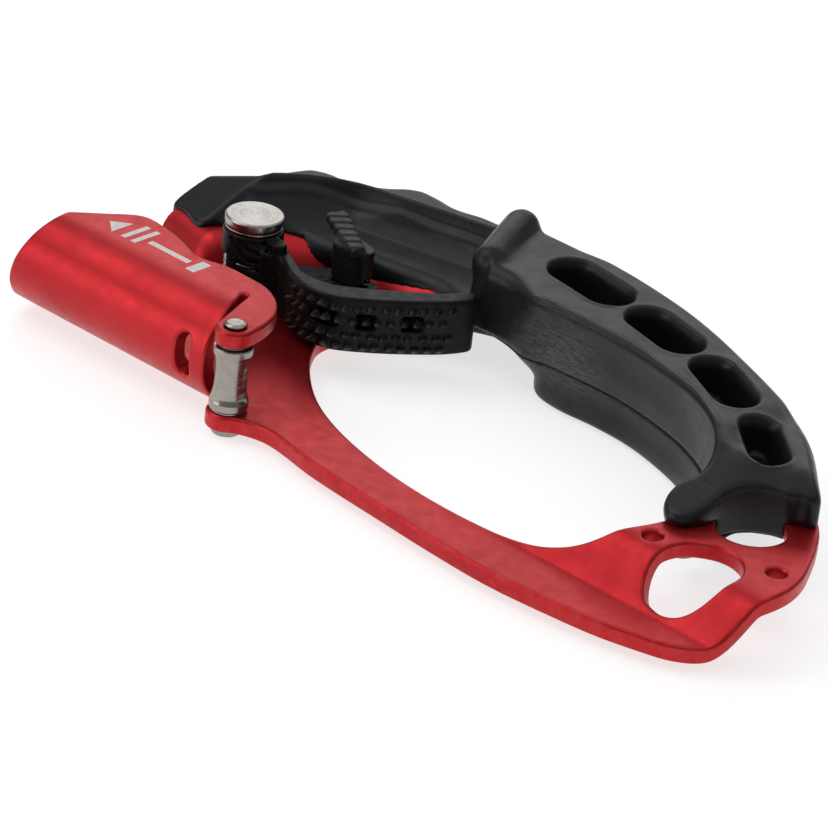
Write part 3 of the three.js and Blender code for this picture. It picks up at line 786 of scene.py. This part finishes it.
def make_grip():
    grid = Grid((-67, 22, -2.6), (120, 90.5, 28.4), GRIP_STEP)
    gx, gy = grid.plan
    front = spline(OUTER_SIDE + FRONT_INNER, 1.0)
    rear = spline(OUTER_SIDE + REAR_INNER, 1.0)
    d_front, d_rear = polygon_distance(gx, gy, front), polygon_distance(gx, gy, rear)
    blend = smoothstep(grid.z, 2.0, grid.flat(9.5 + 5.5 * smoothstep(gx, 26, 36)))
    plan = grid.flat(d_rear) + (grid.flat(d_front) - grid.flat(d_rear)) * blend
    palm = smoothstep(gx, 24, 33) * (1 - smoothstep(gx, 88, 96)) \
        * (1 - smoothstep(line_distance(gx, gy, PALM_RIDGE), 4, 9))
    hollow = 1.25 * np.clip(1 - ((grid.z - 12.5) / 10.0) ** 2, 0, 1)
    plan = plan + grid.flat(palm) * hollow

    outer_line = line_distance(gx, gy, OUTER_SIDE)
    inner_line = line_distance(gx, gy, FRONT_INNER)
    outer_share = smoothstep(inner_line - outer_line, -3, 6)
    radius = 1.6 + 1.8 * outer_share + 1.9 * (1 - smoothstep(gx, 18, 28))
    radius = radius + (0.8 - radius) * (1 - smoothstep(gx, -56, -48))
    top = grip_top(gx, gy, -d_front)
    slope = np.sqrt(1 + sum(g ** 2 for g in np.gradient(top, grid.step))).clip(1, 1.6)
    upper = (grid.z - grid.flat(top)) / grid.flat(slope)
    body = rounded(plan, upper, grid.flat(radius))
    under = np.interp(gx, [80, 88, 94, 99, 104, 112], [-1.6, -0.6, 2.4, 5.0, 7.4, 8.2])
    under = under - 3.0 * smoothstep(gx, 88, 94) * (1 - smoothstep(gy, 31, 39))
    body = soft_max(body, grid.flat(under) - grid.z + 0.25, 2.2)
    for a, b, size in STOP:
        body = soft_min(body, capsule(grid, a, b, size), 1.8)
    for a, b, width in POCKETS:
        pocket = grid.flat(polygon_distance(gx, gy, stadium(a, b, width))) \
            + 0.10 * (GRIP_TOP - grid.z)
        pocket = rounded(pocket, POCKET_FLOOR - grid.z, 1.6)
        body = soft_max(body, -pocket, 2.4)
    body = np.maximum(body, -plate_field(grid, 0.05))

    for name, keep, node in (("grip_front", PARTING + SEAM - grid.z, "grip_front_shell"),
                             ("grip_rear", grid.z - PARTING + SEAM, "grip_rear_shell")):
        field = soft_max(body, keep, 0.04)
        obj = grid.mesh(name, field, RUBBER, smooth=2)
        drop_crumbs(obj)
        at = vertex_places(obj)
        wear = 1.3 * np.exp(-((at[:, 0] - 37) / 10) ** 2 - ((at[:, 2] - 13) / 8) ** 2) * (at[:, 1] < 68)
        ridge = np.exp(-((at[:, 2] - 20) / 3) ** 2) * (at[:, 0] > 88) * (at[:, 1] < 34) * 0.2
        add_float(obj, "scuff", np.maximum(wear, ridge))
        finish_piece(obj, "body", "grip_rubber", node)


def drop_crumbs(obj, least=200):
    """Removes specks of mesh that don't belong to the piece."""
    mesh = bmesh.new()
    mesh.from_mesh(obj.data)
    left, crumbs = set(mesh.verts), []
    while left:
        stack, shell = [left.pop()], []
        while stack:
            vert = stack.pop()
            shell.append(vert)
            for edge in vert.link_edges:
                other = edge.other_vert(vert)
                if other in left:
                    left.remove(other)
                    stack.append(other)
        if len(shell) < least:
            crumbs += shell
    bmesh.ops.delete(mesh, geom=crumbs, context="VERTS")
    mesh.to_mesh(obj.data)
    mesh.free()


make_grip()


# ---------------- the cam
CAM_WALL = [(-29, 37), (-24, 38.4), (-18.4, 35.6), (-11.7, 33.4), (-4.9, 34.3), (1.5, 39.5),
            (8.5, 47.6), (12.9, 54.1), (14.4, 59.2), (12, 61.2), (8, 55), (2, 48.6), (-4, 42.7),
            (-9.6, 38.6), (-16.5, 38), (-22.8, 41.2), (-28.5, 43.6)]
CAM_WEB = [(-31, 35.5), (-24, 38.8), (-12, 35.5), (-5, 37), (3, 44.5), (11, 55.5), (10.5, 59),
           (3, 55.5), (-4, 51.5), (-10, 53), (-12.5, 58), (-22, 58), (-28, 53), (-35, 47)]
WALL_LOW, WALL_HIGH = 5.2, 18.0
WEB_LOW, WEB_HIGH = 7.4, 10.4
HUB_RADIUS, HUB_LOW, HUB_HIGH = 6.7, 5.2, 20.6
MUD_SLOTS = (-13.0, -2.5, 8.0)
TOOTH_HEIGHT = 1.15
TOOTH_ROWS = (6.7, 9.2, 12.6, 15.6)
TOOTH_PITCH = 2.8
TOOTH_RADIUS = 0.9
LOOP_CENTRE_Z = HUB_HIGH + 0.3       # contour grooves on the hub: middle, spacing and upper end
LOOP_PITCH = 2.05
LOOP_TOP = HUB_HIGH - 0.7


def box_window(grid, centre, reach):
    """Index ranges of the grid round a point."""
    low = np.floor((np.array(centre) - reach - grid.low) / grid.step).astype(int).clip(0)
    high = np.ceil((np.array(centre) + reach - grid.low) / grid.step).astype(int) + 1
    return tuple(slice(a, max(a, b)) for a, b in zip(low, high))


def add_tooth(grid, field, foot, out, height, radius):
    """Unites one conical tooth, whose foot is sunk into the wall."""
    window = box_window(grid, foot, height + radius + 0.6)
    gx = grid.plan[0][window[0], window[1]][:, :, None] - foot[0]
    gy = grid.plan[1][window[0], window[1]][:, :, None] - foot[1]
    gz = grid.z[:, :, window[2]] - foot[2]
    along = gx * out[0] + gy * out[1] + gz * out[2]
    across = np.sqrt(np.maximum(gx ** 2 + gy ** 2 + gz ** 2 - along ** 2, 0))
    cone = (across - radius * (1 - along / height)) / math.hypot(1, radius / height)
    cone = np.maximum(np.maximum(cone, -along - 0.8), along - height * 0.9)
    field[window] = np.minimum(field[window], cone)


def make_cam():
    grid = Grid((-43, 30.5, 4.2), (16.2, 63, 21.8), 0.25)
    gx, gy = grid.plan
    wall_line = spline(CAM_WALL, 0.7)
    wall_d = polygon_distance(gx, gy, wall_line)
    wall = rounded(grid.flat(wall_d) + 0.10 * np.maximum(0, grid.z - 16.8),
                   np.maximum(grid.z - WALL_HIGH, WALL_LOW - grid.z), 0.55)
    pits = np.full(wall.shape, 99.0)
    for bearing in MUD_SLOTS:
        turn = math.radians(bearing)
        ends = [(PIVOT.x + r * math.cos(turn), PIVOT.y + r * math.sin(turn)) for r in (26, 54)]
        slot = grid.flat(polygon_distance(gx, gy, stadium(*ends, 3.4)))
        pits = np.minimum(pits, rounded(slot, np.abs(grid.z - 12.55) - 1.85, 0.8))
    web_d = polygon_distance(gx, gy, spline(CAM_WEB, 0.8))
    relief = 0.22 * np.sin(1.9 * gx + 1.7 * np.sin(1.3 * gy)) * np.sin(2.2 * gy + np.sin(1.1 * gx))
    web = rounded(grid.flat(web_d), np.maximum(grid.z - grid.flat(WEB_HIGH + relief), WEB_LOW - grid.z), 0.5)
    hub_d = np.hypot(gx - PIVOT.x, gy - PIVOT.y)
    hub = rounded(grid.flat(hub_d) - HUB_RADIUS, np.maximum(grid.z - HUB_HIGH, HUB_LOW - grid.z), 0.6)
    lug = rounded(grid.flat(polygon_distance(gx, gy, stadium((-29, 40.4), (-26.2, 39.9), 3.6))),
                  np.maximum(grid.z - HUB_HIGH + 0.3, WEB_LOW - grid.z), 0.5)
    field = soft_min(np.maximum(wall, -pits), web, 0.6)
    field = soft_min(field, hub, 1.2)
    field = soft_min(field, lug, 0.4)

    bearing = np.degrees(np.arctan2(gy - PIVOT.y, gx - PIVOT.x))
    across = np.radians(bearing + 38) * HUB_RADIUS
    loops = np.sqrt(grid.flat(across * 0.95) ** 2 + (1.05 * (grid.z - LOOP_CENTRE_Z)) ** 2)
    phase = np.abs(((loops - 0.9) / LOOP_PITCH) % 1 - 0.5) * LOOP_PITCH
    groove = 0.42 - phase
    shell = np.abs(grid.flat(hub_d) - HUB_RADIUS) - 0.6
    reach = np.maximum(loops - 9.4, np.abs(grid.flat(across)) - 7.0)
    carved = np.maximum(np.maximum(-groove, shell), np.maximum(reach, grid.z - LOOP_TOP))
    field = soft_max(field, -carved, 0.2)
    for x in (-29.3, -28.1, -26.9, -25.7):
        rib = np.hypot(grid.flat(gx - x), grid.flat(gy - (38.55 - 0.12 * (x + 29)))) - 0.32
        field = np.maximum(field, -np.maximum(rib, 12.5 - grid.z))

    line = wall_line[(wall_line[:, 0] > -20) & (wall_line[:, 1] < 60.5)]
    start = int(np.argmin(np.hypot(line[:, 0] + 18.4, line[:, 1] - 35.6)))
    line = np.roll(line, -start, 0)
    gap = np.linalg.norm(np.diff(line, axis=0), axis=1)
    end = int(np.argmin(np.hypot(line[:, 0] - 12.9, line[:, 1] - 54.1)))
    line, travelled = line[:end + 1], np.r_[0, np.cumsum(gap[:end])]
    wander = np.random.default_rng(7)
    for row, z in enumerate(TOOTH_ROWS):
        for s in np.arange(2.0 + TOOTH_PITCH / 2 * (row % 2), travelled[-1] - 1.0, TOOTH_PITCH):
            s = s + wander.uniform(-0.3, 0.3)
            x, y = (np.interp(s, travelled, line[:, k]) for k in (0, 1))
            ahead = [np.interp(s + 0.4, travelled, line[:, k]) for k in (0, 1)] - np.array([x, y])
            out = np.array([ahead[1], -ahead[0], 0]) / np.hypot(*ahead)
            lean = out + np.array([ahead[0], ahead[1], 0]) / np.hypot(*ahead) * -0.45
            lean = lean + np.array([0, 0, wander.uniform(-0.25, 0.25)])
            lean /= np.linalg.norm(lean)
            foot = (x, y, z + wander.uniform(-0.15, 0.15))
            add_tooth(grid, field, foot, lean, TOOTH_HEIGHT + wander.uniform(0.2, 0.8), TOOTH_RADIUS)

    seat = np.maximum(np.abs(grid.flat(hub_d) - 5.52) - 0.6, np.abs(grid.z - 11.4) - 3.6)
    bore = grid.flat(hub_d) - 4.5
    window = [(PIVOT.x, PIVOT.y + 1.2), (PIVOT.x - 20, PIVOT.y + 6), (PIVOT.x - 20, PIVOT.y - 20),
              (PIVOT.x - 4, PIVOT.y - 20)]
    window = np.maximum(polygon_distance(gx, gy, np.array(window)), 4.95 - hub_d)
    window = np.maximum(grid.flat(window), np.abs(grid.z - 11.4) - 3.6)
    pin = grid.flat(np.hypot(gx - CATCH.x, gy - CATCH.y)) - 1.55
    for cut in (seat, bore, window, pin):
        field = np.maximum(field, -cut)
    obj = grid.mesh("cam", field, CAM_STEEL, smooth=1)
    drop_crumbs(obj)
    at = vertex_places(obj)
    out = polygon_distance(at[:, 0], at[:, 1], wall_line)
    add_float(obj, "tip", smoothstep(out, 0.45, 1.0) * (at[:, 0] > -20))
    finish_piece(obj, "cam", "cam_steel", "cam")


make_cam()


# ---------------- the thumb catch
PAD_CORNERS = [(-29.8, 64.3), (-30.1, 58.4), (-13.6, 49.4), (-13.2, 52.8)]
PAD_TOP = 21.0
POST = [(-21.4, 52.3), (-13.1, 52.3), (-12.6, 55.3), (-14.6, 56.7), (-21.4, 56.7)]


def make_catch():
    grid = Grid((-33, 46, 10.2), (-9, 67, 22.2), 0.2)
    gx, gy = grid.plan
    pad = rounded(grid.flat(polygon_distance(gx, gy, np.array(PAD_CORNERS))) + 0.25,
                  np.maximum(grid.z - PAD_TOP + 0.35, 18.5 - grid.z), 0.5)
    far = np.array(PAD_CORNERS[0]) / 2 + np.array(PAD_CORNERS[1]) / 2
    near = np.array(PAD_CORNERS[2]) / 2 + np.array(PAD_CORNERS[3]) / 2
    along = (near - far) / np.linalg.norm(near - far)
    for i in range(6):
        middle = far + (near - far) * (i + 0.6) / 6.2
        side = np.array([0.62, 0.785]) * (3.1 - 0.22 * i)
        rib = polygon_distance(gx, gy, stadium(middle - side, middle + side, 2.5, 0.4))
        rib = np.maximum(rib, polygon_distance(gx, gy, np.array(PAD_CORNERS)) - 0.1)
        rib = rounded(grid.flat(rib), np.maximum(grid.z - PAD_TOP, 19.2 - grid.z), 0.5)
        pad = soft_min(pad, rib, 0.2)
    taper = 0.10 * (18.6 - grid.z)
    post = rounded(grid.flat(polygon_distance(gx, gy, spline(POST, 0.8))) - 0.35 + taper * 0.4,
                   np.maximum(grid.z - 19.4, 10.7 - grid.z), 0.4)
    field = soft_min(pad, post, 1.6)
    pin_d = grid.flat(np.hypot(gx - CATCH.x, gy - CATCH.y))
    bore = np.maximum(pin_d - 1.55, grid.z - 15.4)
    room = np.maximum(pin_d - 2.6, grid.z - 13.0)
    legs = np.array([(CATCH.x, CATCH.y - 0.8), (CATCH.x + 8, CATCH.y - 3),
                     (CATCH.x + 8, CATCH.y + 3), (CATCH.x, CATCH.y + 0.8)])
    leg = np.maximum(grid.flat(polygon_distance(gx, gy, legs)), grid.z - 13.0)
    for cut in (bore, room, leg):
        field = np.maximum(field, -cut)
    obj = grid.mesh("thumb_catch", field, PLASTIC, smooth=1)
    drop_crumbs(obj)
    finish_piece(obj, "thumb_catch", "black_plastic", "thumb_catch")


make_catch()


# ---------------- turned pieces
def turned(name, profile, axis, material, slot, body, node, round_by=0.25, segments=96):
    """A turned piece: a closed (radius, z) loop whose corners are rounded, swept about Z."""
    profile = [np.array(p, float) for p in profile]
    path = []
    for i, corner in enumerate(profile):
        before, after = profile[i - 1], profile[(i + 1) % len(profile)]
        if corner[0] == 0:
            path.append(corner)
            continue
        back, on = before - corner, after - corner
        cut = min(round_by, np.linalg.norm(back) / 2.2, np.linalg.norm(on) / 2.2)
        a = corner + back / np.linalg.norm(back) * cut
        b = corner + on / np.linalg.norm(on) * cut
        for t in np.linspace(0, 1, 5):
            path.append((1 - t) ** 2 * a + 2 * t * (1 - t) * corner + t * t * b)
    closed = all(p[0] > 0 for p in path)
    verts, rings = [], []
    for radius, z in path:
        if radius == 0:
            rings.append([len(verts)] * segments)
            verts.append((axis[0], axis[1], z))
            continue
        rings.append(list(range(len(verts), len(verts) + segments)))
        for k in range(segments):
            angle = 2 * math.pi * k / segments
            verts.append((axis[0] + radius * math.cos(angle), axis[1] + radius * math.sin(angle), z))
    faces = []
    for i in range(len(rings) if closed else len(rings) - 1):
        low, high = rings[i], rings[(i + 1) % len(rings)]
        for k in range(segments):
            n = (k + 1) % segments
            face = list(dict.fromkeys((low[k], low[n], high[n], high[k])))
            if len(face) > 2:
                faces.append(face)
    obj = mesh_object(name, verts, faces, material)
    tidy_mesh(obj)
    weighted_normals(obj)
    return finish_piece(obj, body, slot, node)


def tube(name, points, radius, material, slot, body, node, sides=12):
    """A wire along a line of points, with rounded-off ends."""
    points = np.array(points, float)
    ahead = np.gradient(points, axis=0)
    ahead /= np.linalg.norm(ahead, axis=1)[:, None]
    verts, faces = [], []
    across = np.cross(ahead[0], (0.13, 0.21, 0.97))
    for i, (place, way) in enumerate(zip(points, ahead)):
        across = across - way * (across @ way)
        across /= np.linalg.norm(across)
        up = np.cross(way, across)
        size = radius * (0.6 if i in (0, len(points) - 1) else 1)
        for k in range(sides):
            angle = 2 * math.pi * k / sides
            verts.append(place + (across * math.cos(angle) + up * math.sin(angle)) * size)
    for i in range(len(points) - 1):
        for k in range(sides):
            n = (k + 1) % sides
            faces.append((i * sides + k, i * sides + n, (i + 1) * sides + n, (i + 1) * sides + k))
    faces.append(tuple(range(sides))[::-1])
    faces.append(tuple(range((len(points) - 1) * sides, len(points) * sides)))
    obj = mesh_object(name, verts, faces, material, smooth_angle=50)
    tidy_mesh(obj)
    return finish_piece(obj, body, slot, node)


def washer(name, axis, steel, radii, heights, edge):
    (inner, outer), (low, high) = radii, heights
    turned(name, [(inner, low), (outer, low), (outer, high), (inner, high)],
           axis, steel, "stainless", "body", name, edge)


def make_turned_pieces():
    pivot, axis = (PIVOT.x, PIVOT.y), (0, 0)
    turned("cam_axle", [(0, -1.6), (5.0, -1.6), (5.2, -1.3), (5.2, -0.2), (3.5, -0.1), (3.5, 21.5),
                        (6.15, 21.5), (6.5, 21.85), (6.5, 23.35), (6.15, 23.7), (0, 23.7)],
           pivot, PIVOT_STEEL, "stainless", "body", "cam_axle", 0.22, 128)
    washer("cam_lower_washer", pivot, PIVOT_STEEL, (3.7, 6.3), (4.0, 5.0), 0.15)
    washer("cam_upper_washer", pivot, PIVOT_STEEL, (3.7, 6.3), (20.8, 21.3), 0.15)
    turned("cam_bush", [(3.56, 5.4), (4.44, 5.4), (4.44, 20.4), (3.56, 20.4)],
           pivot, BRONZE, "bronze", "cam", "cam_bush", 0.12)
    turned("catch_pin", [(0, 7.4), (1.5, 7.4), (1.5, 15), (0, 15)],
           (CATCH.x, CATCH.y), CATCH_STEEL, "stainless", "cam", "catch_pin", 0.2, 48)
    waist = [(4.2, 4.4), (4.2, 6.0), (4.05, 6.35), (3.78, 7.2), (3.55, 8.6), (3.45, 10.4),
             (3.45, 12.6), (3.55, 14.4), (3.78, 15.8), (4.05, 16.65), (4.2, 17.0), (4.2, 18.6)]
    turned("roller", [(2.65, 4.4), *waist, (2.65, 18.6)],
           axis, ROLLER_STEEL, "stainless", "roller", "roller", 0.3, 128)
    turned("roller_bush", [(2.05, 4.6), (2.6, 4.6), (2.6, 18.4), (2.05, 18.4)],
           axis, BRONZE, "bronze", "roller", "roller_bush", 0.1, 64)
    turned("roller_pin", [(0, -1.6), (3.0, -1.6), (3.3, -1.2), (3.3, -0.15), (2.0, -0.1),
                          (2.0, 23.2), (2.3, 23.25), (2.3, 23.55), (1.7, 23.9), (0, 23.9)],
           axis, ROLLER_STEEL, "stainless", "body", "roller_pin", 0.2, 96)
    washer("roller_lower_washer", axis, ROLLER_STEEL, (2.1, 3.9), (3.9, 4.25), 0.1)
    washer("roller_upper_washer", axis, ROLLER_STEEL, (2.1, 3.2), (18.75, 19.05), 0.1)


make_turned_pieces()


# ---------------- springs
def make_springs():
    """The cam's closing spring, latched open, and the thumb catch's light one."""
    turn = np.linspace(0, 1, 260)
    angle = math.pi + 2 * math.pi * 5 * (turn - 1)
    coil = np.stack([PIVOT.x + 5.525 * np.cos(angle), PIVOT.y + 5.525 * np.sin(angle),
                     8.5 + 5.6 * turn], 1)
    way = np.array([math.cos(math.pi), math.sin(math.pi), 0])
    leg = [coil[-1] + way * reach for reach in np.linspace(0.3, 0.9, 3)]
    tube("cam_spring", np.vstack([coil, leg]), 0.45, SPRING, "spring_steel", "body", "cam_spring")
    turn = np.linspace(0, 1, 120)
    angle = 2 * math.pi * 3 * (turn - 1)
    coil = np.stack([CATCH.x + 2.05 * np.cos(angle), CATCH.y + 2.05 * np.sin(angle),
                     WEB_HIGH + 0.45 + 1.75 * turn], 1)
    leg = [coil[-1] + np.array([reach, 0, 0]) for reach in np.linspace(0.4, 2.9, 7)]
    tube("catch_spring", np.vstack([coil, leg]), 0.25, SPRING, "spring_steel", "cam",
         "catch_spring", 8)


make_springs()


# ---------------- direction mark
def make_mark():
    """A plain arrow and bars etched on the flange, pointing up the rope line."""
    top = CHANNEL_HEIGHT + 0.02
    shapes = [[(-51.5, 13.3), (-47.5, 10), (-47.5, 16.5)]]
    for x0, y0, x1, y1 in ((-45, 10.2, -43.6, 18), (-42, 10.2, -40.6, 18),
                           (-39, 12.4, -27, 14), (-25.5, 10.4, -23, 15.8)):
        shapes.append([(x0, y0), (x1, y0), (x1, y1), (x0, y1)])
    verts, faces = [], []
    for shape in shapes:
        start, count = len(verts), len(shape)
        verts += [(x, y, top) for x, y in shape] + [(x, y, top - 0.06) for x, y in shape]
        low = list(range(start, start + count))
        high = list(range(start + count, start + 2 * count))
        faces += [low, high[::-1]]
        faces += [(low[i], high[i], high[(i + 1) % count], low[(i + 1) % count])
                  for i in range(count)]
    obj = mesh_object("direction_mark", verts, faces, MARK, smooth_angle=30)
    tidy_mesh(obj)
    finish_piece(obj, "body", "anodised_red")


make_mark()


# ---------------- stage
def area_light(name, place, size, power):
    """A soft white light that looks at the part."""
    data = bpy.data.lights.new(name, "AREA")
    data.shape = "RECTANGLE"
    data.size, data.size_y = size
    data.energy = power
    light = bpy.data.objects.new(name, data)
    bpy.context.scene.collection.objects.link(light)
    light.location = place
    light.rotation_mode = "QUATERNION"
    light.rotation_quaternion = (-Vector(place)).to_track_quat("-Z", "Y")


def make_stage():
    mesh = bpy.data.meshes.new("floor")
    size = 4.0
    mesh.from_pydata([(-size, -size, 0), (size, -size, 0), (size, size, 0), (-size, size, 0)],
                     [], [(0, 1, 2, 3)])
    floor = bpy.data.objects.new("floor", mesh)
    bpy.context.scene.collection.objects.link(floor)
    s = Shader("pale_floor", (0.86, 0.86, 0.86), 0.0, 0.7)
    s.set("Base Color", s.mix(s.noise(0.02, 3), (0.47, 0.47, 0.47, 1), (0.44, 0.44, 0.44, 1)))
    s.set("Emission Color", (1, 1, 1, 1))
    s.set("Emission Strength", 0.70)
    mesh.materials.append(s.material)
    floor.location.z = -0.0002

    world = bpy.data.worlds.new("studio")
    world.use_nodes = True
    world.node_tree.nodes["Background"].inputs[0].default_value = (1, 1, 1, 1)
    world.node_tree.nodes["Background"].inputs[1].default_value = 0.27
    bpy.context.scene.world = world
    bpy.context.scene.view_settings.view_transform = "Standard"

    area_light("overhead", (0, 0.1, 1.0), (1.6, 1.6), 4.0)
    area_light("key", (-0.45, -0.22, 0.62), (0.5, 0.5), 1.3)
    area_light("low_front", (-0.5, -0.75, 0.25), (0.6, 0.4), 1.7)
    area_light("far", (-0.75, 0.95, 0.62), (1.3, 0.55), 3.2)


make_stage()
